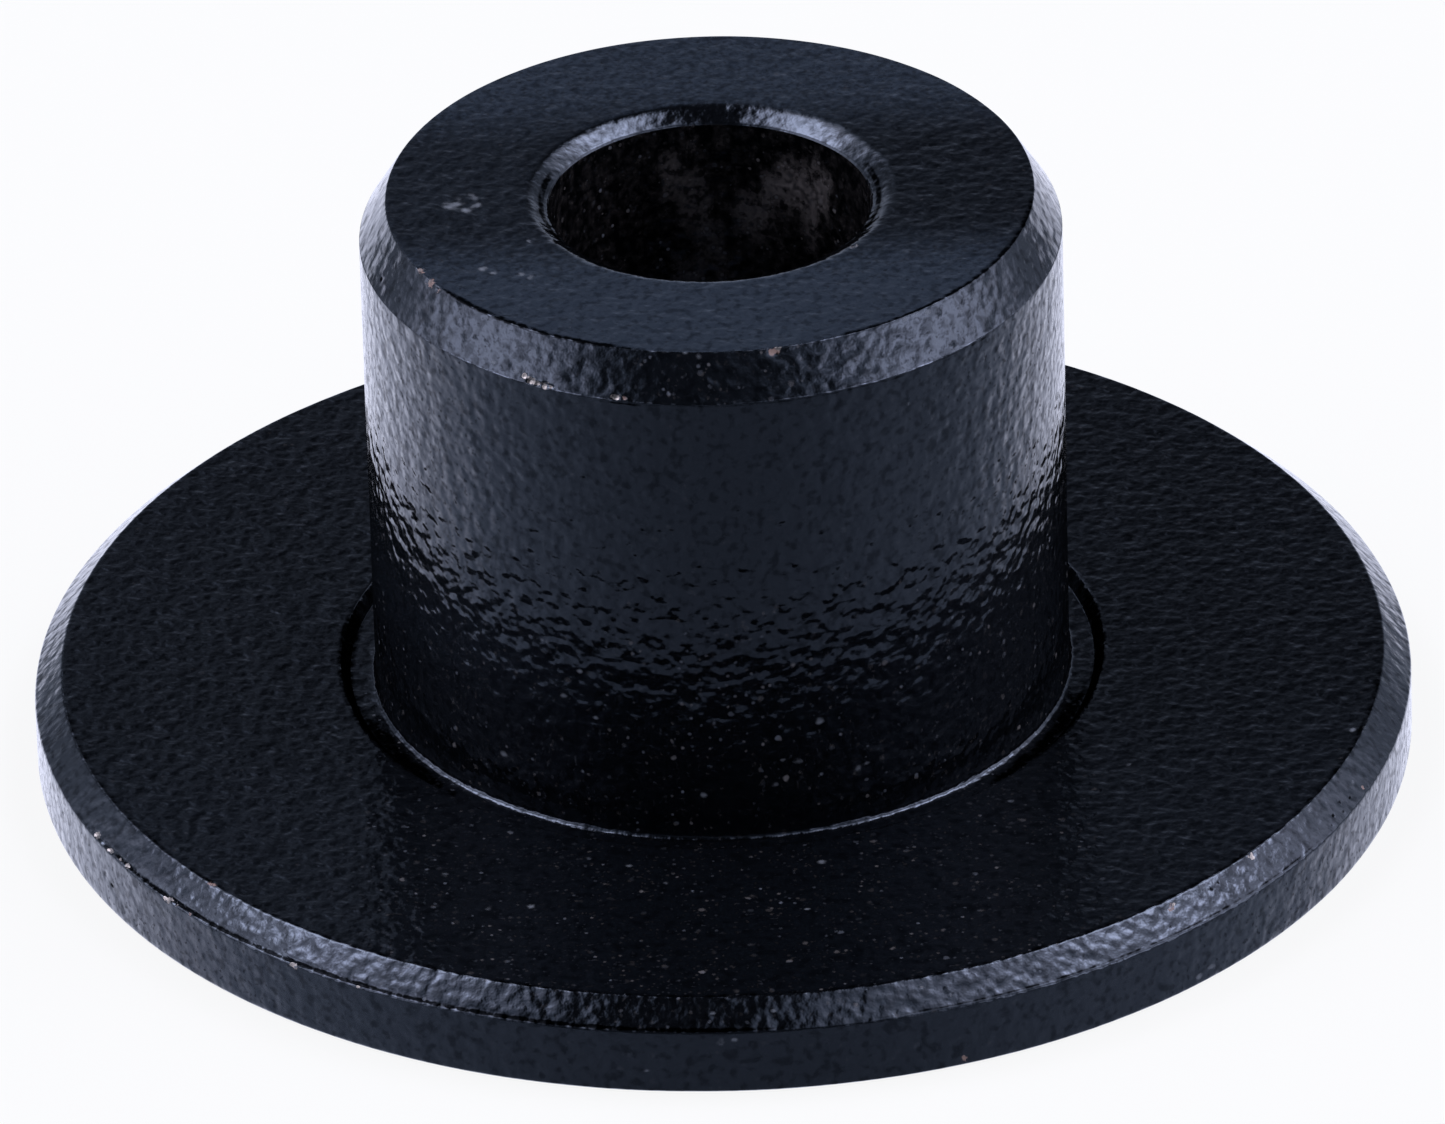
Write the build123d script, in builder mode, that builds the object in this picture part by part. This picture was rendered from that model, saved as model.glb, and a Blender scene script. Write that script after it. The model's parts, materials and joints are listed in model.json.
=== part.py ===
from build123d import *
import os

# Flanged bushing, turned in one piece and painted.
# The origin is the centre of the flange's underside, and +Z runs up the bore.
# Every size is in millimetres.

# Flange, hub and bore
flange_diameter = 47.6
flange_thickness = 3.2
hub_diameter = 24.0
overall_height = 21.3
bore_diameter = 11.0  # clears a 10 mm bolt

# Chamfers: width across the flat face, height along the wall
hub_chamfer_width = 0.95
hub_chamfer_height = 1.5
flange_chamfer_width = 0.95
flange_chamfer_height = 0.85
mouth_chamfer_width = 0.7
mouth_chamfer_height = 0.4
back_chamfer = 0.5

# Ring groove in the flange round the hub's foot
groove_width = 1.2
groove_depth = 0.4
groove_flank_width = 0.35
root_fillet = 0.25

# Small radius that the paint leaves on the corners that stand out
edge_round = 0.15

flange_radius = flange_diameter / 2
hub_radius = hub_diameter / 2
bore_radius = bore_diameter / 2
groove_radius = hub_radius + groove_width
groove_floor = flange_thickness - groove_depth


# The flat faces from the lowest up: base, groove floor, flange top, hub top
def flat_faces(piece):
    return piece.faces().filter_by(Axis.Z).sort_by(Axis.Z)


# The rims of the straight round wall of this radius, the lower one first
def wall_rims(piece, radius):
    walls = piece.faces().filter_by(GeomType.CYLINDER)
    wall = walls.sort_by(lambda face: abs(face.radius - radius))[0]
    return wall.edges().filter_by(GeomType.CIRCLE).sort_by(Axis.Z)


with BuildPart() as bushing:
    # Half section, from the base up to the top of the hub
    with BuildSketch(Plane.XZ) as section:
        with BuildLine() as outline:
            Polyline(
                (bore_radius, 0),
                (flange_radius, 0),
                (flange_radius, flange_thickness),
                (groove_radius, flange_thickness),
                (groove_radius - groove_flank_width, groove_floor),
                (hub_radius, groove_floor),
                (hub_radius, overall_height),
                (bore_radius, overall_height),
                close=True,
            )
        make_face()
    revolve(axis=Axis.Z)

    # The groove's floor turns up into the hub's wall
    floor = flat_faces(bushing)[1]
    fillet(floor.inner_wires().edges(), root_fillet)

    # Chamfers on the top of the hub, outside and at the bore's mouth
    hub_top = flat_faces(bushing)[-1]
    chamfer(hub_top.outer_wire().edges(), hub_chamfer_width, hub_chamfer_height, reference=hub_top)
    hub_top = flat_faces(bushing)[-1]
    chamfer(hub_top.inner_wires().edges(), mouth_chamfer_width, mouth_chamfer_height, reference=hub_top)

    # Chamfers on the flange's upper rim and at the back of the bore
    flange_top = flat_faces(bushing)[-2]
    flange_edge = flange_top.outer_wire().edges()
    chamfer(flange_edge, flange_chamfer_width, flange_chamfer_height, reference=flange_top)
    base = flat_faces(bushing)[0]
    chamfer(base.inner_wires().edges(), back_chamfer)

    # Soft corners; the groove's floor and the back of the bore keep crisp ones
    base, floor, flange_top, hub_top = flat_faces(bushing)
    soft_rims = base.outer_wire().edges() + flange_top.edges() + hub_top.edges()
    for radius in (flange_radius, hub_radius, bore_radius):
        soft_rims += wall_rims(bushing, radius)[-1:]
    fillet(soft_rims, edge_round)

bushing.part.label = "bushing"
export_step(bushing.part, "parts/bushing.step")
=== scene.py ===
import json
import math
import bmesh
import bpy
import numpy as np
from mathutils import Matrix, Vector, noise


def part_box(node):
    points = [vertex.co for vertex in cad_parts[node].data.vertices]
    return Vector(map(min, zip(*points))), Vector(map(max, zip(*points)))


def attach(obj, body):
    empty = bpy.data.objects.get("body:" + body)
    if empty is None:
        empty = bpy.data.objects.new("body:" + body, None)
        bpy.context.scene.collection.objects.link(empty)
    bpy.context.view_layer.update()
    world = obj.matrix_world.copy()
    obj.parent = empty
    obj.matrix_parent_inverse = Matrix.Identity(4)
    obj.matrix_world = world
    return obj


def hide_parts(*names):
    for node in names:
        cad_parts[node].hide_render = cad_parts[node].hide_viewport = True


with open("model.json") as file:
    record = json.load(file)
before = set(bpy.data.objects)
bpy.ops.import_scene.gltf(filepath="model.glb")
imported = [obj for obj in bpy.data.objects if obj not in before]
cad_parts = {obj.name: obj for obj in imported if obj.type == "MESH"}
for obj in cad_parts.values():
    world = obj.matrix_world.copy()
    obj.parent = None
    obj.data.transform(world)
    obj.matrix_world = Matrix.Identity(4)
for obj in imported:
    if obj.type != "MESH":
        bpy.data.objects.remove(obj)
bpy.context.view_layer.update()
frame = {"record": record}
mm = 0.001
print("frame loaded")


# Shader maths: a Wire is a node's output, and plain operators on it add Math or Vector Math nodes
class Wire:
    def __init__(self, sheet, socket):
        self.sheet = sheet
        self.socket = socket

    def maths(self, operation, *values):
        wide = [v for v in values if isinstance(v, Wire) and v.socket.type in ("VECTOR", "RGBA")]
        kind = "ShaderNodeVectorMath" if wide else "ShaderNodeMath"
        return self.sheet.node(kind, {"operation": operation}, dict(enumerate(values)))

    def __add__(self, other):
        return self.maths("ADD", self, other)

    def __radd__(self, other):
        return self.maths("ADD", other, self)

    def __sub__(self, other):
        return self.maths("SUBTRACT", self, other)

    def __rsub__(self, other):
        return self.maths("SUBTRACT", other, self)

    def __mul__(self, other):
        return self.maths("MULTIPLY", self, other)

    def __rmul__(self, other):
        return self.maths("MULTIPLY", other, self)

    def __truediv__(self, other):
        return self.maths("DIVIDE", self, other)

    def __rtruediv__(self, other):
        return self.maths("DIVIDE", other, self)

    def __pow__(self, other):
        return self.maths("POWER", self, other)

    def __rpow__(self, other):
        return self.maths("POWER", other, self)

    def __abs__(self):
        return self.maths("ABSOLUTE", self)

    def __neg__(self):
        return self.maths("MULTIPLY", self, -1)

    def atLeast(self, other):
        return self.maths("MAXIMUM", self, other)

    def atMost(self, other):
        return self.maths("MINIMUM", self, other)

    # 0 below start, 1 above end, smooth between; start may be the larger one
    def rise(self, start, end):
        if start > end:
            return 1 - self.rise(end, start)
        settings = {"interpolation_type": "SMOOTHSTEP"}
        sockets = {"Value": self, "From Min": start, "From Max": end}
        return self.sheet.node("ShaderNodeMapRange", settings, sockets)

    # a bell of height 1 round the centre
    def bell(self, centre, width):
        away = (self - centre) / width
        return self.maths("EXPONENT", away * away * -1)

    def parts(self):
        split = self.sheet.node("ShaderNodeSeparateXYZ", {}, {"Vector": self}).socket.node
        return [Wire(self.sheet, socket) for socket in split.outputs]


# The node tree of one material or of the world
class Sheet:
    def __init__(self, owner):
        owner.use_nodes = True
        self.tree = owner.node_tree
        self.tree.nodes.clear()

    # settings are set first, then each socket gets its value or its link
    def node(self, kind, settings, sockets, output=0):
        made = self.tree.nodes.new(kind)
        for name, value in settings.items():
            if name == "stops":
                ramp = made.color_ramp
                while len(ramp.elements) < len(value):
                    ramp.elements.new(0.5)
                for element, (place, colour) in zip(ramp.elements, value):
                    element.position = place
                    element.color = (*colour, 1)
            else:
                setattr(made, name, value)
        for name, value in sockets.items():
            socket = made.inputs[name]
            if isinstance(value, Wire):
                self.tree.links.new(value.socket, socket)
            elif socket.type in ("VECTOR", "RGBA") and isinstance(value, (int, float)):
                socket.default_value = (value,) * len(socket.default_value)
            elif socket.type == "RGBA" and len(value) == 3:
                socket.default_value = (*value, 1)
            else:
                socket.default_value = value
        return Wire(self, made.outputs[output]) if made.outputs else None

    def mix(self, factor, first, second):
        sockets = {0: factor, 6: first, 7: second}
        return self.node("ShaderNodeMix", {"data_type": "RGBA"}, sockets, 2)

    # noise from 0 to 1, as fine, detailed and rough as a dictionary says
    def noise(self, place, size):
        sockets = {"Scale": size["scale"], "Detail": size["detail"], "Roughness": size["rough"]}
        return self.node("ShaderNodeTexNoise", {}, {"Vector": place, **sockets})

    # a Voronoi pattern: how far the cell's middle is, and two random numbers of the cell
    def cells(self, place, scale):
        away = self.node("ShaderNodeTexVoronoi", {}, {"Vector": place, "Scale": scale})
        chance, other, _ = Wire(self, away.socket.node.outputs["Color"]).parts()
        return away, chance, other

    # three numbers that the mesh carries at each of its points
    def carried(self, name):
        return self.node("ShaderNodeAttribute", {"attribute_name": name}, {}, 1).parts()

    def rayIs(self, kind):
        node = self.node("ShaderNodeLightPath", {}, {}).socket.node
        return Wire(self, node.outputs["Is " + kind + " Ray"])

    # 1 on rays that come straight from the camera or through glass
    def seesBackground(self):
        return (self.rayIs("Camera") + self.rayIs("Transmission")).atMost(1)


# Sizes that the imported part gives, in mm
low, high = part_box("bushing")
mounts = {m["name"]: m for m in frame["record"]["mounts"]}
boxSlack = 0.0005  # keeps the turned mesh inside the part's box
flangeRadius = min(high.x, high.y, -low.x, -low.y) / mm - boxSlack
fullHeight = high.z / mm
flangeTop = mounts["flange_face"]["pos_m"][2] / mm
hubRadius = mounts["hub"]["dims"]["r_mm"]
boreRadius = mounts["bore"]["dims"]["r_mm"]


# Camera: a long lens, looking down at the part's front
camera = {
    "pitch": 30.34,  # degrees below level
    "roll": -1.583,
    "distance": 609.85,  # mm
    "lens": 440.93,
    "sensor": 36,
    "clip": (0.05, 20),  # metres
    "aim": (0.0915, 0.0, 6.682),  # mm
}


def addCamera():
    data = bpy.data.cameras.new("camera")
    data.sensor_width = camera["sensor"]
    data.lens = camera["lens"]
    data.clip_start, data.clip_end = camera["clip"]
    holder = bpy.data.objects.new("camera", data)
    pitch = math.radians(camera["pitch"])
    back = Vector((0, -math.cos(pitch), math.sin(pitch))) * camera["distance"]
    tilt = Matrix.Rotation(math.pi / 2 - pitch, 4, "X")
    roll = Matrix.Rotation(math.radians(camera["roll"]), 4, "Z")
    holder.matrix_world = Matrix.Translation((Vector(camera["aim"]) + back) * mm) @ (tilt @ roll)
    bpy.context.scene.collection.objects.link(holder)
    bpy.context.scene.camera = holder


# Floor: white to the camera, with a faint contact shadow. Gloss looks through it, because what
# the part mirrors from below is the studio's pale sweep, which darkens towards the room in front.
floor = {
    "size": 1.2,  # metres
    "drop": 0.01,  # mm below the part, so that the two faces don't meet
    "paper": 0.8,
    "shadow": 0.12,  # how much of the floor's white is lit by the studio
}


def addFloor():
    half = floor["size"] / 2
    mesh = bpy.data.meshes.new("floor")
    corners = [(-half, -half, 0), (half, -half, 0), (half, half, 0), (-half, half, 0)]
    mesh.from_pydata(corners, [], [(0, 1, 2, 3)])
    ground = bpy.data.objects.new("floor", mesh)
    ground.location.z = -floor["drop"] * mm
    ground.visible_glossy = False
    bpy.context.scene.collection.objects.link(ground)
    white = bpy.data.materials.new("floorWhite")
    sheet = Sheet(white)
    paper = sheet.node("ShaderNodeBsdfDiffuse", {}, {"Color": (floor["paper"],) * 3})
    thinPaper = sheet.node("ShaderNodeBsdfDiffuse", {}, {"Color": (floor["shadow"],) * 3})
    glow = sheet.node("ShaderNodeEmission", {}, {"Strength": 1 - floor["shadow"]})
    seen = sheet.node("ShaderNodeAddShader", {}, {0: thinPaper, 1: glow})
    background = sheet.seesBackground()
    surface = sheet.node("ShaderNodeMixShader", {}, {0: background, 1: paper, 2: seen})
    sheet.node("ShaderNodeOutputMaterial", {}, {"Surface": surface})
    mesh.materials.append(white)


# Studio: two long soft panels overhead, left and right, with a dark gap between them, a softer
# strip on each side, and a pale sweep behind and below that darkens towards the front.
# Places on a panel are slopes: sideways over up, and back over up. The others are parts of a
# direction of length 1. A pair is a bell's middle and width, or where something starts and is full.
studio = {
    "core": {"light": 3.3, "across": (0.68, 0.36), "along": (0.24, 0.30)},
    "body": {"light": 1.35, "across": (0.75, 0.65), "along": (0.25, 0.85)},
    "panelsUp": (0.1, 0.35),  # the panels fade out towards the horizon
    "gap": (0.10, 0.34),  # where each panel begins
    "gapShift": (0.02, -0.20),  # the gap lies off the middle, and more so towards the front
    "gapEnd": -1.2,  # slope at which that shift stops growing
    "side": {"light": 1.9, "middle": -0.05, "out": (0.35, 0.95), "up": (0.36, 0.20), "back": (-0.27, 0.72)},
    "backdrop": {"light": 0.45, "up": 0.31, "near": (-0.2, 0.4), "far": (0.70, 0.86)},
    "ceiling": 0.013,
    "front": {"light": 0.025, "back": (-0.5, -0.82)},
    "cool": (0.80, 0.92, 1.20),  # tone of the dim parts
    "warm": (0.92, 0.95, 1.15),  # tone of the bright parts
    "tones": (0.1, 0.9),
    "horizon": (0.02, -0.16),  # the sweep takes over below it
    "dimmer": {"by": 0.4, "facing": (0.15, 0.65), "right": (0, 0.3)},  # the sweep is dimmer on the right
    "sweep": [
        # from the front round to the back
        (0.0, 0.145),
        (0.12, 0.195),
        (0.41, 0.37),
        (0.67, 0.80),
        (0.82, 1.28),
        (0.93, 1.45),
        (1.0, 1.5),
    ],
}


def addStudio():
    world = bpy.data.worlds.new("studio")
    bpy.context.scene.world = world
    sheet = Sheet(world)
    direction = sheet.node("ShaderNodeTexCoord", {}, {}, 0)
    x, y, z = direction.parts()
    up = z.atLeast(0.04)  # keeps the slopes finite
    along = y / up
    shift, lean = studio["gapShift"]
    across = abs(x / up + along.atLeast(studio["gapEnd"]) * lean + shift)
    level = x.maths("SQRT", x * x + y * y).atLeast(0.001)
    facing = y / level  # -1 in front, 1 behind

    def panel(piece):
        return across.bell(*piece["across"]) * along.bell(*piece["along"]) * piece["light"]

    panels = (across * up).rise(*studio["gap"]) * (panel(studio["core"]) + panel(studio["body"]))
    side = studio["side"]
    strip = abs(x - side["middle"]).rise(*side["out"]) * z.bell(*side["up"]) * y.bell(*side["back"])
    drop = studio["backdrop"]
    behind = facing.rise(*drop["near"]) * 0.5 + facing.rise(*drop["far"]) * 0.5
    backdrop = behind * z.atLeast(0).bell(0, drop["up"]) * drop["light"]
    above = panels * z.rise(*studio["panelsUp"]) + strip * side["light"] + backdrop + studio["ceiling"]
    above = above + y.rise(*studio["front"]["back"]) * studio["front"]["light"]

    brightest = studio["sweep"][-1][1]
    stops = [(place, (value / brightest,) * 3) for place, value in studio["sweep"]]
    below = sheet.node("ShaderNodeValToRGB", {"stops": stops}, {"Fac": facing * 0.5 + 0.5}).parts()[0]
    dim = studio["dimmer"]
    dimmer = 1 - facing.bell(*dim["facing"]) * x.rise(*dim["right"]) * dim["by"]
    low = z.rise(*studio["horizon"])
    light = above * (1 - low) + below * dimmer * brightest * low
    tone = sheet.mix(light.rise(*studio["tones"]), studio["cool"], studio["warm"])
    shown = sheet.node("ShaderNodeCombineXYZ", {}, {0: light, 1: light, 2: light}) * tone
    background = sheet.seesBackground()
    colour = sheet.mix(background, shown, (1.0, 1.0, 1.0))
    back = sheet.node("ShaderNodeBackground", {}, {"Color": colour, "Strength": 1.0})
    sheet.node("ShaderNodeOutputWorld", {}, {"Surface": back})


# The turned section, in mm: each stretch has its far end, the round at that end and its rows
turned = {
    "edgeRound": 0.15,
    "smallRound": 0.06,  # where the paint leaves a corner nearly crisp
    "rootRound": 0.18,
    "mouthRound": 0.7,
    "crisp": 0.03,
    "backChamfer": 0.5,
    "rimChamfer": (0.95, 0.85),  # width, height
    "grooveWidth": 1.2,
    "grooveFlank": 0.35,
    "grooveDepth": 0.4,
    "hubChamfer": (0.95, 1.5),
    "mouthChamfer": (0.7, 0.4),
    "outerSteps": 420,  # facets round the outside; half as many in the bore and under the base
    "arcRows": 4,
    "bunching": 0.75,  # rows lie closer at the ends of a stretch: 0 is even, below 1
    "refining": (0.55, 0.22),  # how far round a mark the mesh is split, first and second time
    "waves": {"size": 2.6, "depth": 0.014},  # slow unevenness of the turned faces
}


def outline():
    soft = turned["edgeRound"]
    small = turned["smallRound"]
    crisp = turned["crisp"]
    rimWide, rimHigh = turned["rimChamfer"]
    hubWide, hubHigh = turned["hubChamfer"]
    mouthWide, mouthHigh = turned["mouthChamfer"]
    grooveRadius = hubRadius + turned["grooveWidth"]
    grooveFloor = flangeTop - turned["grooveDepth"]
    backRadius = boreRadius + turned["backChamfer"]
    return [
        # name, end radius, end height, round there, rows
        ("base", flangeRadius, 0, soft, 5),
        ("rim", flangeRadius, flangeTop - rimHigh, soft, 7),
        ("rimChamfer", flangeRadius - rimWide, flangeTop, soft, 7),
        ("flangeTop", grooveRadius, flangeTop, crisp, 18),
        ("grooveFlank", grooveRadius - turned["grooveFlank"], grooveFloor, small, 3),
        ("grooveFloor", hubRadius, grooveFloor, turned["rootRound"], 3),
        ("hubWall", hubRadius, fullHeight - hubHigh, soft, 30),
        ("hubChamfer", hubRadius - hubWide, fullHeight, small, 9),
        ("hubTop", boreRadius + mouthWide, fullHeight, turned["mouthRound"], 12),
        ("mouth", boreRadius, fullHeight - mouthHigh, soft, 6),
        ("boreWall", boreRadius, turned["backChamfer"], crisp, 18),
        ("back", backRadius, 0, crisp, 2),
    ]


# Rows of the section: radius and height of each, and the stretch it belongs to
def sectionRows():
    stretches = outline()
    ends = [np.array((s[1], s[2]), float) for s in stretches]
    count = len(ends)
    rows = []
    trims = []
    for i in range(count):
        before = ends[i] - ends[i - 1]
        after = ends[(i + 1) % count] - ends[i]
        before /= np.linalg.norm(before)
        after /= np.linalg.norm(after)
        bend = math.atan2(before[0] * after[1] - before[1] * after[0], before @ after)
        trims.append((abs(math.tan(bend / 2)) * stretches[i][3], bend, before))
    for i in range(count):
        name, _, _, roundness, steps = stretches[i]
        trim, bend, before = trims[i]
        start = ends[i - 1] + before * trims[i - 1][0]
        finish = ends[i] - before * trim
        for k in range(1, steps):
            share = k / steps - turned["bunching"] * math.sin(2 * math.pi * k / steps) / (2 * math.pi)
            rows.append((start + (finish - start) * share, name))
        side = math.copysign(1, bend)
        outward = np.array((before[1], -before[0]))
        centre = finish - outward * side * roundness
        arcSteps = turned["arcRows"] if roundness > turned["crisp"] else 1
        for k in range(arcSteps + 1):
            angle = bend * k / arcSteps
            spun = np.array((
                outward[0] * math.cos(angle) - outward[1] * math.sin(angle),
                outward[0] * math.sin(angle) + outward[1] * math.cos(angle),
            ))
            rows.append((centre + spun * roundness * side, name))
    return rows


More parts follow.
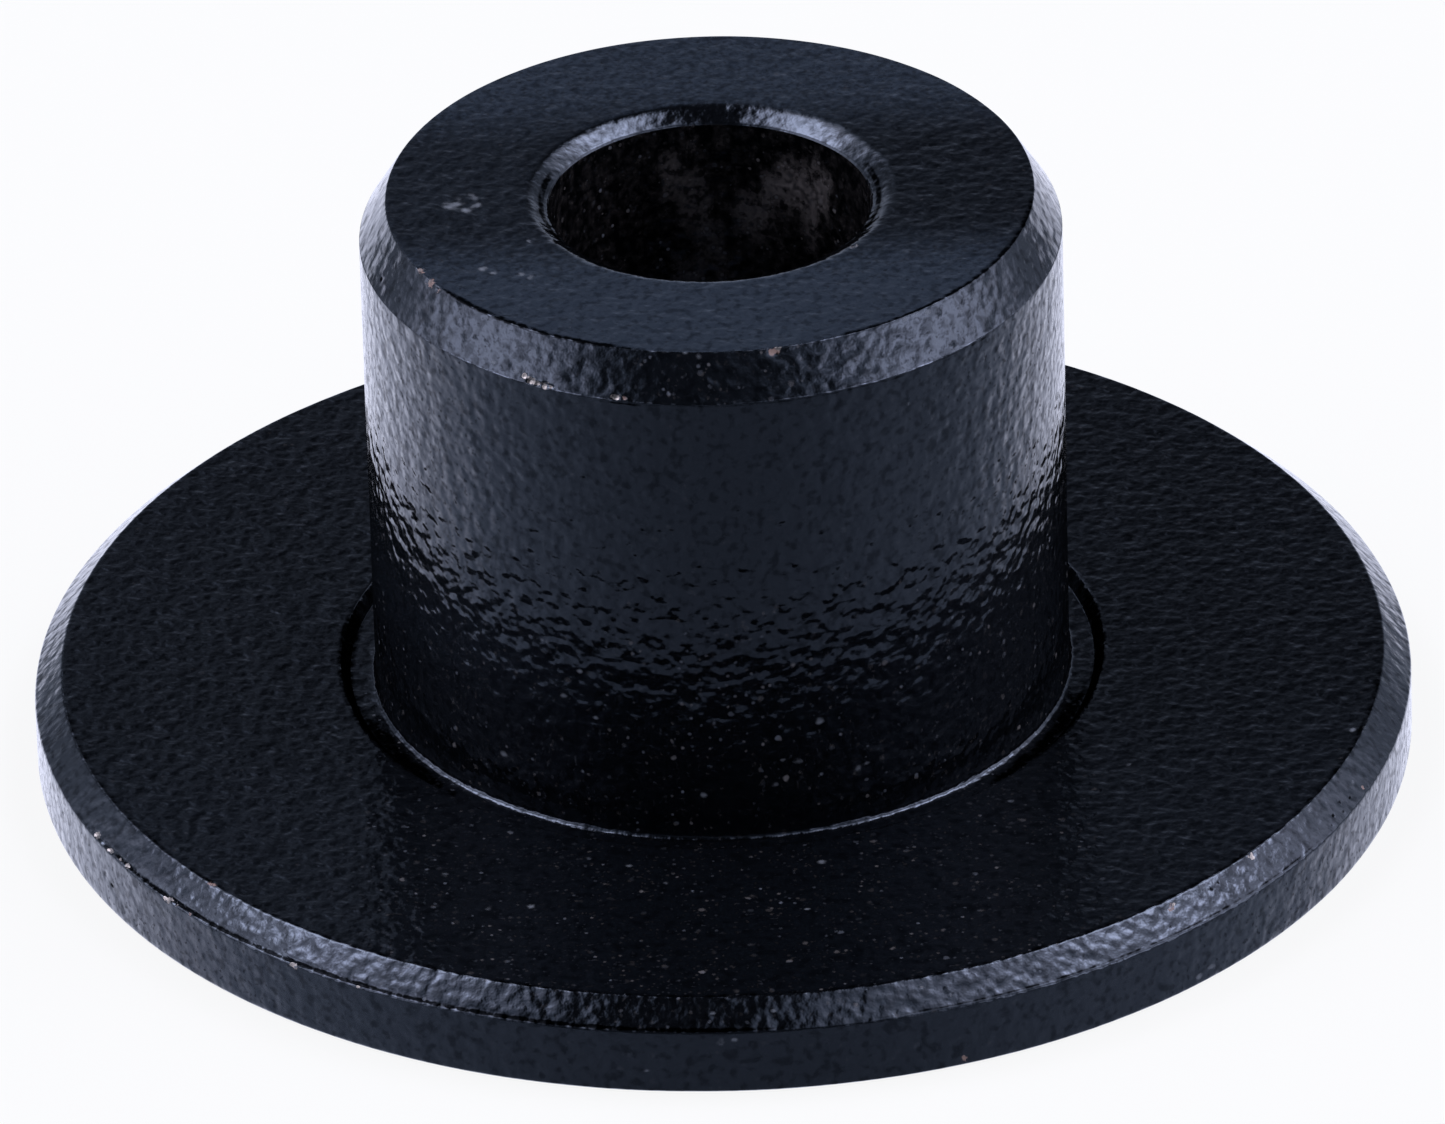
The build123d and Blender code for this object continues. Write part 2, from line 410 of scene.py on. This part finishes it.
# Wear and painted shade, in mm and in degrees from the front, where right is +
wearAndShade = {
    "alongEdge": 1.4,  # how much longer a mark is round the part than across it
    "lineFade": 12,  # degrees over which a line fades out at its ends
    # the worn seam under the flange's chamfer, and how uneven its depth is
    "seam": {
        "turns": (-72, 4),
        "radius": 23.71,
        "height": 2.46,
        "width": 0.07,
        "depth": 0.07,
        "uneven": 0.3,
        "beats": (2.3, 5.1),
    },
    # dark lines along edges, in the groove and in the bore's mouth, where these places mirror little light:
    # painted shade. Radius, height, from, to, width, strength
    "edgeLines": [
        (10.98, 21.30, -62, -6, 0.120, 0.9),  # round the hub's top
        (10.98, 21.30, 14, 92, 0.100, 0.8),
        (22.74, 3.20, -92, 92, 0.130, 0.55),  # round the flange's top
        (11.99, 19.72, -27, 62, 0.050, 0.8),  # under the hub's chamfer
        (23.72, 2.46, -68, 9, 0.085, 1.15),  # the seam under the flange's chamfer
        (23.72, 2.46, 4, 66, 0.055, 0.8),
        (13.00, 3.05, -112, -46, 0.330, 1.2),  # the groove's outer side
        (13.00, 3.05, 44, 112, 0.300, 1.2),
        (12.60, 2.80, -82, -42, 0.280, 1.1),
        (12.60, 2.80, 40, 84, 0.260, 1.1),
        (5.76, 21.02, -118, -52, 0.085, 1.3),  # in the bore's mouth
        (5.76, 21.02, 52, 120, 0.085, 1.3),
    ],
    # turn, radius, height, reach and depth of each mark, and what is in it: bare metal, rust,
    # a pale deposit or a dent, whose darkness is painted shade
    "marks": [
        # along the outer edge of the flange's chamfer, left
        (-65.0, 23.70, 2.44, 0.14, 0.05, "bare"),
        (-63.6, 23.72, 2.43, 0.10, 0.04, "bare"),
        (-62.4, 23.73, 2.42, 0.13, 0.05, "bare"),
        (-60.8, 23.73, 2.42, 0.08, 0.03, "bare"),
        (-59.6, 23.72, 2.43, 0.12, 0.04, "bare"),
        (-53.2, 23.76, 2.39, 0.17, 0.06, "bare"),
        (-52.2, 23.75, 2.40, 0.10, 0.04, "bare"),
        (-50.2, 23.77, 2.38, 0.08, 0.03, "rust"),
        (-38.2, 23.78, 2.37, 0.15, 0.05, "bare"),
        (-31.8, 23.78, 2.37, 0.07, 0.03, "bare"),
        # along the outer edge of the hub's chamfer
        (-39.0, 11.82, 20.08, 0.10, 0.0, "pale"),
        (-34.4, 11.84, 20.06, 0.11, 0.0, "pale"),
        (-32.4, 11.87, 20.00, 0.10, 0.03, "bare"),
        (-31.2, 11.93, 19.90, 0.14, 0.05, "bare"),
        (-29.9, 11.95, 19.87, 0.12, 0.05, "bare"),
        (-28.6, 11.94, 19.88, 0.15, 0.05, "bare"),
        (-27.4, 11.94, 19.88, 0.09, 0.03, "bare"),
        (-16.2, 11.92, 19.90, 0.13, 0.04, "bare"),
        (-14.8, 11.93, 19.90, 0.08, 0.03, "rust"),
        (30.0, 11.80, 20.10, 0.13, 0.0, "pale"),
        (48.4, 11.80, 20.10, 0.13, 0.0, "pale"),
        # along the edge of the hub's top
        (-72.8, 11.75, 20.20, 0.13, 0.02, "dark"),
        (-63.6, 10.98, 21.28, 0.17, 0.03, "rust"),
        (-63.8, 10.98, 21.28, 0.09, 0.0, "bare"),
        (-59.3, 11.08, 21.24, 0.19, 0.03, "rust"),
        (-59.6, 11.06, 21.26, 0.10, 0.0, "bare"),
        (-56.4, 11.10, 21.20, 0.10, 0.02, "rust"),
        (-8.8, 11.40, 20.72, 0.08, 0.0, "pale"),
        (-5.0, 11.06, 21.27, 0.10, 0.0, "pale"),
        (-2.6, 11.12, 21.20, 0.11, 0.0, "pale"),
        (10.2, 11.12, 21.20, 0.17, 0.03, "rust"),
        (11.4, 11.04, 21.28, 0.10, 0.0, "bare"),
        (35.6, 11.10, 21.22, 0.16, 0.0, "pale"),
        (37.8, 11.10, 21.22, 0.10, 0.0, "pale"),
        (40.2, 11.14, 21.16, 0.14, 0.0, "pale"),
        (47.0, 11.42, 20.72, 0.10, 0.0, "pale"),
        # on the hub's top and at the bore's mouth
        (-87.4, 8.62, 21.30, 0.34, 0.0, "pale"),
        (-86.8, 8.95, 21.30, 0.24, 0.0, "pale"),
        (-84.4, 8.35, 21.30, 0.22, 0.0, "pale"),
        (-90.2, 8.10, 21.30, 0.24, 0.0, "pale"),
        (-86.2, 7.95, 21.30, 0.20, 0.0, "pale"),
        (-57.4, 9.15, 21.30, 0.20, 0.0, "pale"),
        (-54.8, 9.00, 21.30, 0.16, 0.0, "pale"),
        (-50.0, 8.40, 21.30, 0.20, 0.0, "pale"),
        (-48.0, 8.30, 21.30, 0.18, 0.0, "pale"),
        (-63.2, 6.90, 21.30, 0.12, 0.0, "pale"),
        (50.0, 6.30, 21.26, 0.13, 0.03, "bare"),
        # on the flange's chamfer and the edge of its top
        (-58.8, 23.00, 3.08, 0.08, 0.0, "pale"),
        (-50.0, 22.80, 3.19, 0.15, 0.02, "rust"),
        (-1.6, 23.26, 2.84, 0.09, 0.0, "pale"),
        (3.4, 23.26, 2.84, 0.10, 0.0, "pale"),
        (0.4, 22.70, 3.20, 0.09, 0.0, "pale"),
        (40.2, 23.04, 3.03, 0.15, 0.03, "rust"),
        (40.6, 23.02, 3.05, 0.07, 0.0, "bare"),
        (39.2, 23.50, 2.62, 0.09, 0.012, "dark"),
        (44.8, 23.12, 2.96, 0.11, 0.012, "dark"),
        (45.8, 23.05, 3.02, 0.08, 0.012, "dark"),
        (50.6, 22.96, 3.10, 0.14, 0.02, "bare"),
        (59.6, 22.96, 3.10, 0.13, 0.0, "pale"),
        (60.4, 23.64, 2.49, 0.08, 0.012, "dark"),
        (61.4, 23.50, 2.62, 0.10, 0.012, "dark"),
        (62.6, 23.62, 2.51, 0.10, 0.012, "dark"),
        (63.2, 23.38, 2.72, 0.10, 0.012, "dark"),
        (64.6, 23.52, 2.60, 0.08, 0.012, "dark"),
        (66.4, 23.32, 2.79, 0.12, 0.0, "pale"),
        (66.9, 23.62, 2.51, 0.10, 0.0, "rust"),
        (73.6, 22.88, 3.18, 0.14, 0.0, "pale"),
        (73.0, 22.48, 3.20, 0.13, 0.0, "pale"),
        # on the rim
        (-73.0, 23.80, 1.50, 0.14, 0.04, "dark"),
        (-63.3, 23.80, 1.30, 0.15, 0.04, "dark"),
        (-62.1, 23.80, 1.10, 0.14, 0.04, "dark"),
        (-35.4, 23.80, 0.28, 0.07, 0.0, "pale"),
        (-7.0, 23.80, 0.87, 0.09, 0.0, "pale"),
        (-0.8, 23.80, 2.02, 0.20, 0.0, "pale"),
        (0.1, 23.80, 2.10, 0.11, 0.0, "pale"),
        (19.0, 23.80, 0.30, 0.16, 0.02, "rust"),
        (41.6, 23.80, 0.36, 0.15, 0.0, "pale"),
        (43.0, 23.80, 0.46, 0.17, 0.0, "pale"),
        (57.6, 23.80, 0.42, 0.10, 0.0, "pale"),
        (71.0, 23.80, 1.13, 0.08, 0.012, "dark"),
        # on the hub's wall
        (-59.4, 12.0, 6.65, 0.08, 0.0, "pale"),
        (-47.2, 12.0, 8.25, 0.13, 0.0, "pale"),
        (-39.0, 12.0, 4.80, 0.16, 0.0, "pale"),
        (-27.0, 12.0, 7.90, 0.13, 0.0, "pale"),
        (-24.2, 12.0, 12.45, 0.12, 0.0, "pale"),
        (-23.4, 12.0, 11.50, 0.10, 0.0, "pale"),
        (-23.8, 12.0, 9.00, 0.12, 0.0, "pale"),
        (-21.2, 12.0, 7.25, 0.11, 0.0, "pale"),
        (-3.8, 12.0, 4.55, 0.13, 0.0, "pale"),
        (1.0, 12.0, 6.40, 0.08, 0.0, "pale"),
        (4.8, 12.0, 7.15, 0.08, 0.0, "pale"),
        (8.0, 12.0, 4.80, 0.12, 0.0, "pale"),
        (9.4, 12.0, 5.75, 0.09, 0.0, "pale"),
        (12.0, 12.0, 5.65, 0.14, 0.0, "pale"),
        (15.6, 12.0, 7.10, 0.14, 0.0, "pale"),
        (22.0, 12.0, 4.90, 0.17, 0.0, "pale"),
        (23.6, 12.0, 5.05, 0.10, 0.0, "pale"),
        (28.0, 12.0, 17.05, 0.07, 0.0, "pale"),
        (32.4, 12.0, 6.90, 0.08, 0.0, "pale"),
        (32.8, 12.0, 18.55, 0.07, 0.0, "pale"),
        (39.8, 12.0, 8.10, 0.09, 0.0, "pale"),
        (40.0, 12.0, 15.05, 0.11, 0.0, "pale"),
        (40.8, 12.0, 18.30, 0.11, 0.0, "pale"),
        (50.0, 12.0, 9.85, 0.11, 0.0, "pale"),
        (61.0, 12.0, 4.75, 0.10, 0.0, "pale"),
        # on the flange's top
        (-47.0, 16.40, 3.20, 0.10, 0.0, "pale"),
        (-36.6, 16.75, 3.20, 0.13, 0.0, "pale"),
        (-36.0, 15.65, 3.20, 0.09, 0.0, "pale"),
        (-33.6, 17.35, 3.20, 0.14, 0.0, "pale"),
        (-26.0, 18.60, 3.20, 0.13, 0.0, "pale"),
        (-21.8, 18.00, 3.20, 0.12, 0.0, "pale"),
        (-13.2, 14.60, 3.20, 0.12, 0.0, "pale"),
        (0.8, 16.90, 3.20, 0.11, 0.0, "pale"),
        (8.6, 17.50, 3.20, 0.11, 0.0, "pale"),
        (12.6, 14.65, 3.20, 0.15, 0.0, "pale"),
        (57.2, 16.55, 3.20, 0.13, 0.0, "pale"),
        (58.4, 16.15, 3.20, 0.14, 0.0, "pale"),
    ],
}


def spot(turn, radius, height):
    angle = math.radians(turn)
    return np.array((math.sin(angle) * radius, -math.cos(angle) * radius, height))


# The turn and the radius of each point
def roundAxis(points):
    x, y, _ = points.T
    return np.degrees(np.arctan2(x, -y)), np.hypot(x, y)


# 0 at start and 1 at end, smooth between
def ramp(value, start, end):
    share = np.clip((value - start) / (end - start), 0, 1)
    return share * share * (3 - 2 * share)


# A line from one turn to another on a ring of the section: 1 on it, 0 away from it and past its ends
def ringLine(points, radius, height, start, end, width):
    turn, out = roundAxis(points)
    away = np.hypot(out - radius, points[:, 2] - height) / width
    fade = wearAndShade["lineFade"]
    ends = np.clip((turn - start) / fade, 0, 1) * np.clip((end - turn) / fade, 0, 1)
    return ends * np.exp(-away ** 2)


# How far into a mark each point is, 1 in its middle, 0 at its reach and negative outside, and how deep
def markField(points, kinds):
    field = np.full(len(points), -3.0)
    depth = np.zeros(len(points))
    for turn, radius, height, reach, deep, kind in wearAndShade["marks"]:
        if kind in kinds:
            away = points - spot(turn, radius, height)
            angle = math.radians(turn)
            around = away[:, 0] * math.cos(angle) + away[:, 1] * math.sin(angle)
            square = (away ** 2).sum(1) - around ** 2 * (1 - 1 / wearAndShade["alongEdge"] ** 2)
            inside = 1 - np.sqrt(np.maximum(square, 0)) / reach
            field = np.maximum(field, inside)
            depth = np.maximum(depth, deep * np.clip(inside * 1.6, 0, 1))
    return field, depth


def joinRings(rings):
    faces = []
    for (start, steps), (following, nextSteps) in zip(rings, rings[1:] + rings[:1]):
        if steps == nextSteps:
            for k in range(steps):
                n = (k + 1) % steps
                faces.append((start + k, start + n, following + n, following + k))
        elif steps > nextSteps:
            for k in range(nextSteps):
                a, b, c = 2 * k, 2 * k + 1, (2 * k + 2) % steps
                n = (k + 1) % nextSteps
                faces.append((start + a, start + b, following + k))
                faces.append((start + b, start + c, following + n, following + k))
        else:
            for k in range(steps):
                a, b, c = 2 * k, 2 * k + 1, (2 * k + 2) % nextSteps
                n = (k + 1) % steps
                faces.append((start + k, following + b, following + a))
                faces.append((start + k, start + n, following + c, following + b))
    return faces


def turnedMesh():
    steps = turned["outerSteps"]
    allTurns = np.radians(np.arange(steps) * 360 / steps)
    coarse = ("base", "back")
    points = []
    rings = []
    count = 0
    for place, name in sectionRows():
        turns = allTurns[::2] if name in coarse else allTurns
        height = np.full(len(turns), place[1])
        points.append(np.stack([np.sin(turns) * place[0], -np.cos(turns) * place[0], height], 1))
        rings.append((count, len(turns)))
        count += len(turns)
    mesh = bpy.data.meshes.new("bushingBody")
    mesh.from_pydata((np.concatenate(points) * mm).tolist(), [], joinRings(rings))
    mesh.validate()
    return mesh


def readPoints(mesh):
    points = np.zeros(len(mesh.vertices) * 3)
    mesh.vertices.foreach_get("co", points)
    return points.reshape(-1, 3) / mm


# Splits the facets round the marks, so that a mark's outline doesn't follow the mesh
def refine(mesh):
    for margin in turned["refining"]:
        points = readPoints(mesh)
        near = np.zeros(len(points), bool)
        for turn, radius, height, reach, _, _ in wearAndShade["marks"]:
            away = np.linalg.norm(points - spot(turn, radius, height), axis=1)
            near |= away < reach * wearAndShade["alongEdge"] + margin
        editing = bmesh.new()
        editing.from_mesh(mesh)
        edges = [e for e in editing.edges if near[e.verts[0].index] and near[e.verts[1].index]]
        bmesh.ops.subdivide_edges(editing, edges=edges, cuts=1, use_grid_fill=True)
        editing.to_mesh(mesh)
        editing.free()


# Smooth noise from about -1 to 1 in lumps of this size, the same in every run
def noiseAt(points, size):
    return np.array([noise.noise(Vector(p) / size) for p in points])


# How the paint differs from place to place, painted sheen and painted shade among it, each a share of what
# the paint dictionary says
coat = {
    "peel": {"all": 0.62, "wall": 0.38, "bore": 0.3},
    "grain": {"all": 0.8, "wall": -0.2, "patches": 0.6, "mouth": 0.4},
    # pits are dark spots of painted shade, with no hollow in the mesh
    "pits": {"wall": 0.15, "sides": 0.85, "patches": 0.8, "mouth": 0.5},
    "dust": {"all": 0.12, "mirror": 0.62, "foot": 0.7, "lowWall": 0.95, "bore": 1.1},
    # painted sheen: paint lightened towards a pale bluish tone on the hub's top at the front, back and
    # left, on the flange's top in front and on the lower wall's sides, most on the left
    "hubHaze": {"all": 0.06, "front": 1.5, "back": 0.8, "left": 0.12},
    "flangeHaze": 0.08,
    "wallHaze": {"all": 0.07, "left": 0.16},
    "lumpyFront": 0.7,
    "patches": {"turn": 34, "half": 12, "fade": 16},  # rough stretches of the chamfers, in degrees
    "darkFront": (24, 10),  # degrees from which the chamfers' fronts are lumpy and dusty, and fully so
    "sides": (18, 50),  # degrees from which the hub's wall is pitted
    "walls": (0.85, 0.97),  # how far out from the axis, or in, a normal points on the walls
    "flats": (0.96, 0.995),  # how far up one points on the flats, and on the chamfers
    "chamfers": (0.2, 0.4),
    "lowWall": {"height": (13, 7), "turn": (100, 75)},  # the hub's wall above the flange
    "mirror": {"width": (14, 10), "height": (14, 7)},  # where the flange mirrors the hub
    # stains in the bore: from and to in degrees, from and to in height, strength
    "stains": [
        (137, 168, 17.5, 19.5, 0.85),
        (178, 193, 13.0, 20.0, 0.5),
        (150, 176, 15.5, 18.0, 0.25),
    ],
    "faintStain": 0.12,  # everywhere in the bore
    "stainEdges": {"size": 1.6, "turn": 16, "height": 1.4},  # how far they wander
}


# What the paint needs to know at each point: sets of three numbers
def surfaceFields(points, normals):
    x, y, z = points.T
    turn, radius = roundAxis(points)
    outward = (points[:, :2] * normals[:, :2]).sum(1) / radius
    wall = ramp(outward, *coat["walls"])
    bore = ramp(-outward, *coat["walls"])
    flat = ramp(normals[:, 2], *coat["flats"])
    cut = ramp(normals[:, 2], *coat["chamfers"]) * (1 - flat)
    hubFace = flat * ramp(z, fullHeight - 0.5, fullHeight - 0.2)
    foot = ramp(np.abs(radius - hubRadius - 0.3), 0.5, 0.2) * ramp(z, flangeTop + 0.4, flangeTop)
    front = ramp(y, -2, -12)
    frontCut = cut * ramp(np.abs(turn), *coat["darkFront"])
    mouth = cut * ramp(radius, boreRadius + 1.3, boreRadius + 0.9)
    beside = np.maximum(np.abs(np.abs(turn) - coat["patches"]["turn"]) - coat["patches"]["half"], 0)
    patches = cut * np.exp(-(beside / coat["patches"]["fade"]) ** 2) * (1 - mouth)
    lumps = np.maximum(patches, coat["lumpyFront"] * frontCut)

    peel = coat["peel"]
    relief = peel["all"] + peel["wall"] * wall * ramp(z, flangeTop, flangeTop + 0.4) + peel["bore"] * bore
    grain = coat["grain"]
    fine = grain["all"] + grain["wall"] * wall + grain["patches"] * patches + grain["mouth"] * mouth
    pit = coat["pits"]
    pits = wall * (pit["wall"] + pit["sides"] * ramp(np.abs(turn), *coat["sides"]))
    pits = pits + pit["patches"] * patches + pit["mouth"] * mouth

    dust = coat["dust"]
    mirror = front * ramp(np.abs(x), *coat["mirror"]["width"]) * ramp(z, *coat["mirror"]["height"])
    low = coat["lowWall"]
    lowWall = wall * ramp(z, *low["height"]) * ramp(np.abs(turn), *low["turn"])
    crowd = np.maximum(dust["mirror"] * mirror, dust["foot"] * np.maximum(frontCut, foot))
    crowd = np.maximum(crowd, dust["lowWall"] * lowWall) * (1 - wall * ramp(z, flangeTop, flangeTop - 0.3))
    crowd = dust["all"] + crowd + dust["bore"] * bore

    # painted sheen: the hub's top lighter and bluer at the front, back and left, the flange's top in front,
    # and the lower wall's sides, most on the left
    hub = coat["hubHaze"]
    sheen = hub["all"] + hub["front"] * ramp(y, -2, -8) + hub["back"] * ramp(y, 3, 8)
    sheen = hubFace * (sheen + hub["left"] * ramp(x, -3, -8))
    sheen += coat["flangeHaze"] * flat * (1 - hubFace) * front
    lowSheen = coat["wallHaze"]
    sheen += lowWall * (lowSheen["all"] + lowSheen["left"] * ramp(x, -3, -9) * ramp(z, 6.5, 8.5))

    # painted shade: dark lines along edges, in the groove and in the bore's mouth, and in the dark dents
    shade = np.zeros(len(points))
    for lineRadius, height, start, end, width, strength in wearAndShade["edgeLines"]:
        line = strength * ringLine(points, lineRadius, height, start, end, width)
        shade = np.maximum(shade, line)
    # the dents are darkened with painted shade, as a hollow's shadow
    dents, _ = markField(points, ("dark",))
    shade = np.maximum(shade, np.clip(dents * 1.3, 0, 0.7))

    wander = coat["stainEdges"]
    around = (turn + wander["turn"] * noiseAt(points, wander["size"])) % 360
    level = z + wander["height"] * noiseAt(points + 50, wander["size"])
    grime = np.full(len(points), coat["faintStain"])
    for start, end, bottom, top, strength in coat["stains"]:
        across = ramp(around, start - 3, start + 3) * ramp(around, end + 3, end - 3)
        upright = ramp(level, bottom - 0.6, bottom + 0.6) * ramp(level, top + 0.3, top - 0.3)
        grime = np.maximum(grime, strength * across * upright)

    bare, _ = markField(points, ("bare",))
    rust, _ = markField(points, ("rust",))
    pale, _ = markField(points, ("pale",))
    return {
        "finish": (relief, crowd, shade),
        "film": (sheen, grime * bore, pits),
        "marks": (bare, rust, pale),
        "surface": (fine, lumps, bore),
    }


# How far wear and the waves of the turned faces sink each point, in mm
def sunkBy(points):
    seam = wearAndShade["seam"]
    turns, _ = roundAxis(points)
    slow, fast = seam["beats"]
    beat = np.sin(turns * slow) * np.sin(turns * fast + 1.3)
    worn = ringLine(points, seam["radius"], seam["height"], *seam["turns"], seam["width"])
    worn *= seam["depth"] * (1 - seam["uneven"] * (1 - beat))
    _, dents = markField(points, ("bare", "rust", "dark"))
    waves = turned["waves"]
    return np.maximum(dents, worn) + waves["depth"] * (0.5 - 0.5 * noiseAt(points, waves["size"]))


def addBushing():
    mesh = turnedMesh()
    refine(mesh)
    points = readPoints(mesh)
    normals = np.zeros(points.size)
    mesh.vertex_normals.foreach_get("vector", normals)
    normals = normals.reshape(-1, 3)
    for name, numbers in surfaceFields(points, normals).items():
        layer = mesh.attributes.new(name, "FLOAT_VECTOR", "POINT")
        layer.data.foreach_set("vector", np.stack(numbers, 1).astype(np.float32).ravel())
    points -= normals * sunkBy(points)[:, None]
    mesh.vertices.foreach_set("co", (points * mm).ravel())
    mesh.polygons.foreach_set("use_smooth", [True] * len(mesh.polygons))
    mesh.materials.append(paintFinish())
    body = bpy.data.objects.new("bushingBody", mesh)
    bpy.context.scene.collection.objects.link(body)
    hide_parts("bushing")
    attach(body, "root")
    print("bushing turned:", sum(len(face.vertices) - 2 for face in mesh.polygons), "triangles")


# The paint: colours are linear, sizes in mm, noise in waves per mm. A pair is where something
# starts and where it is full.
paint = {
    "colour": (0.0016, 0.0018, 0.0024),
    "tint": (0.74, 0.83, 1.0),
    "ior": 1.97,
    "roughness": 0.13,
    "dullness": {"dust": 0.5, "stain": 0.4, "bare": 0.2},
    "relief": {"scale": 1.9, "detail": 1.0, "rough": 0.45, "height": 0.088},  # orange peel
    "ragged": {"scale": 6.0, "detail": 1.0, "rough": 0.5, "height": 0.009},
    "lump": {"scale": 3.0, "detail": 0.0, "rough": 0.5, "height": 0.04},
    "cloud": {"scale": 0.55, "detail": 0.0, "rough": 0.5, "range": (0.40, 0.56)},
    "grains": [(1.7, 0.14, 0.5), (3.2, 0.085, 0.6)],  # cells per mm, size, share of cells with a grain
    "faintGrain": 0.12,  # the dimmest grain beside the brightest
    "flecks": {"strength": 0.16, "range": (0.12, 0.26)},
    "cloudy": 0.6,  # how much the dust follows the clouds
    "bareColour": (0.44, 0.39, 0.36),
    "bareEdge": {"ragged": 3.0, "range": (0.2, 0.5), "reach": (-0.2, 0.1)},
    "rustColour": (0.33, 0.20, 0.15),
    "rustEdge": {"ragged": 2.6, "range": (0.15, 0.7), "reach": (-0.2, 0.1)},
    "paleColour": (0.20, 0.21, 0.23),
    "paleEdge": {"ragged": 0.8, "lump": 2.0, "range": (-0.1, 1.5), "reach": (-0.4, 0.4)},
    "dustColour": (0.16, 0.14, 0.13),
    "paleDust": (0.14, 0.15, 0.175),
    # a pale bluish tone that stands in for sheen: painted sheen, in streaks
    "hazeColour": (0.028, 0.037, 0.051),
    "hazeStreaks": 2.6,
    "grimeColour": (0.200, 0.176, 0.170),
    "grimeGrain": {"share": 0.68, "ragged": 2.2, "lump": 1.2},
    # how dark the painted shade of the lines and of the pits is, and where it starts and is full
    "lines": {"darkness": 0.95, "uneven": 1.2, "range": (0.2, 0.7)},
    "pits": {"darkness": 0.55, "range": (0.10, 0.22)},
    "mottle": {"darkness": 0.40, "ragged": 0.6, "range": (-0.02, 0.32)},
    "blots": {"darkness": 0.35, "range": (0.02, 0.16)},
    "secondGloss": 0.85,  # how much darker the paint is where the part mirrors itself
}


def paintFinish():
    material = bpy.data.materials.new("blackPaint")
    sheet = Sheet(material)
    place = sheet.node("ShaderNodeTexCoord", {}, {}, 3) * (1 / mm)
    relief, crowd, shade = sheet.carried("finish")
    sheen, grime, pits = sheet.carried("film")
    bareField, rustField, paleField = sheet.carried("marks")
    fine, lumps, bore = sheet.carried("surface")

    ragged = sheet.noise(place, paint["ragged"]) - 0.5
    lump = sheet.noise(place, paint["lump"]) - 0.5
    cloud = sheet.noise(place, paint["cloud"]).rise(*paint["cloud"]["range"])

    # a mark with a torn edge
    def torn(field, edge):
        rough = field + lump * edge["lump"] if "lump" in edge else field
        return (rough + ragged * edge["ragged"]).rise(*edge["range"]) * field.rise(*edge["reach"])

    bare = torn(bareField, paint["bareEdge"])
    rust = torn(rustField, paint["rustEdge"])
    pale = torn(paleField, paint["paleEdge"])

    # dust in the coat: a few cells of a Voronoi pattern each hold one grain
    def dust(scale, size, share):
        away, chance, other = sheet.cells(place, scale)
        grain = (away + ragged * 0.3).rise(size * scale, size * scale * 0.4)
        faint = paint["faintGrain"]
        return grain * chance.rise(share, share - 0.02) * (faint + (1 - faint) * other ** 3)

    coarse, small = [dust(*grain) for grain in paint["grains"]]
    gathered = crowd * (1 - paint["cloudy"] + paint["cloudy"] * cloud)
    flecks = (-ragged).rise(*paint["flecks"]["range"]) * paint["flecks"]["strength"]
    specks = (coarse.atLeast(small) * gathered).atMost(1).atLeast(flecks * gathered)

    height = sheet.noise(place, paint["relief"]) * relief * (paint["relief"]["height"] * mm)
    height = height + ragged * fine * (paint["ragged"]["height"] * mm)
    height = height + lump * lumps * (paint["lump"]["height"] * mm)
    bump = sheet.node("ShaderNodeBump", {}, {"Height": height, "Strength": 1.0, "Distance": 1.0})

    # painted sheen: the paint lightened in streaks towards the pale bluish tone
    streakySheen = (sheen * (1 + ragged * paint["hazeStreaks"])).atLeast(0)
    colour = sheet.mix(streakySheen, paint["colour"], paint["hazeColour"])
    stain = (grime + lump * 0.5 + ragged * 0.3).rise(0.0, 1.0) * bore
    share = paint["grimeGrain"]
    grainy = stain * (share["share"] + ragged * share["ragged"] + lump * share["lump"])
    colour = sheet.mix(grainy.atMost(1).atLeast(0), colour, paint["grimeColour"])
    grain = sheet.mix(lump.rise(-0.08, 0.08), paint["dustColour"], paint["paleDust"])
    colour = sheet.mix(specks, colour, grain)
    colour = sheet.mix(pale, colour, paint["paleColour"])
    colour = sheet.mix(rust, colour, paint["rustColour"])
    colour = sheet.mix(bare, colour, paint["bareColour"])
    dull = paint["dullness"]
    roughness = paint["roughness"] + (specks + rust + pale + stain * dull["stain"]).atMost(1) * dull["dust"]
    finish = sheet.node("ShaderNodeBsdfPrincipled", {}, {
        "Base Color": colour,
        "Roughness": (roughness + bare * dull["bare"]).atMost(1),
        "Metallic": bare,
        "IOR": paint["ior"],
        "Specular Tint": paint["tint"],
        "Normal": bump,
    })

    # painted shade: thin lines, dents and pits are darkened towards black, and so is paint that is
    # seen in other paint, because the first reflection leaves little of the light that the second one could
    # send on
    line = paint["lines"]
    uneven = 1 + ragged * line["uneven"] + lump * line["uneven"]
    lines = (shade * uneven).rise(*line["range"]) * line["darkness"]
    # painted shade of pits: dark spots where the paint is pitted
    pitShade = ragged.rise(*paint["pits"]["range"]) * pits * paint["pits"]["darkness"]
    mottle = (lump + ragged * paint["mottle"]["ragged"]).rise(*paint["mottle"]["range"])
    blots = lump.rise(*paint["blots"]["range"]) * lumps * paint["blots"]["darkness"]
    veil = lines.atLeast(pitShade).atLeast(mottle * paint["mottle"]["darkness"]).atLeast(blots)
    veil = veil * (1 - (specks + pale + rust + bare).atMost(1))
    veil = veil.atLeast(sheet.rayIs("Glossy") * paint["secondGloss"])
    black = sheet.node("ShaderNodeBsdfDiffuse", {}, {"Color": (0.0, 0.0, 0.0)})
    surface = sheet.node("ShaderNodeMixShader", {}, {0: veil, 1: finish, 2: black})
    sheet.node("ShaderNodeOutputMaterial", {}, {"Surface": surface})
    return material


addCamera()
addFloor()
addStudio()
print("camera, floor and studio set")
addBushing()
bpy.context.scene.view_settings.view_transform = "Standard"
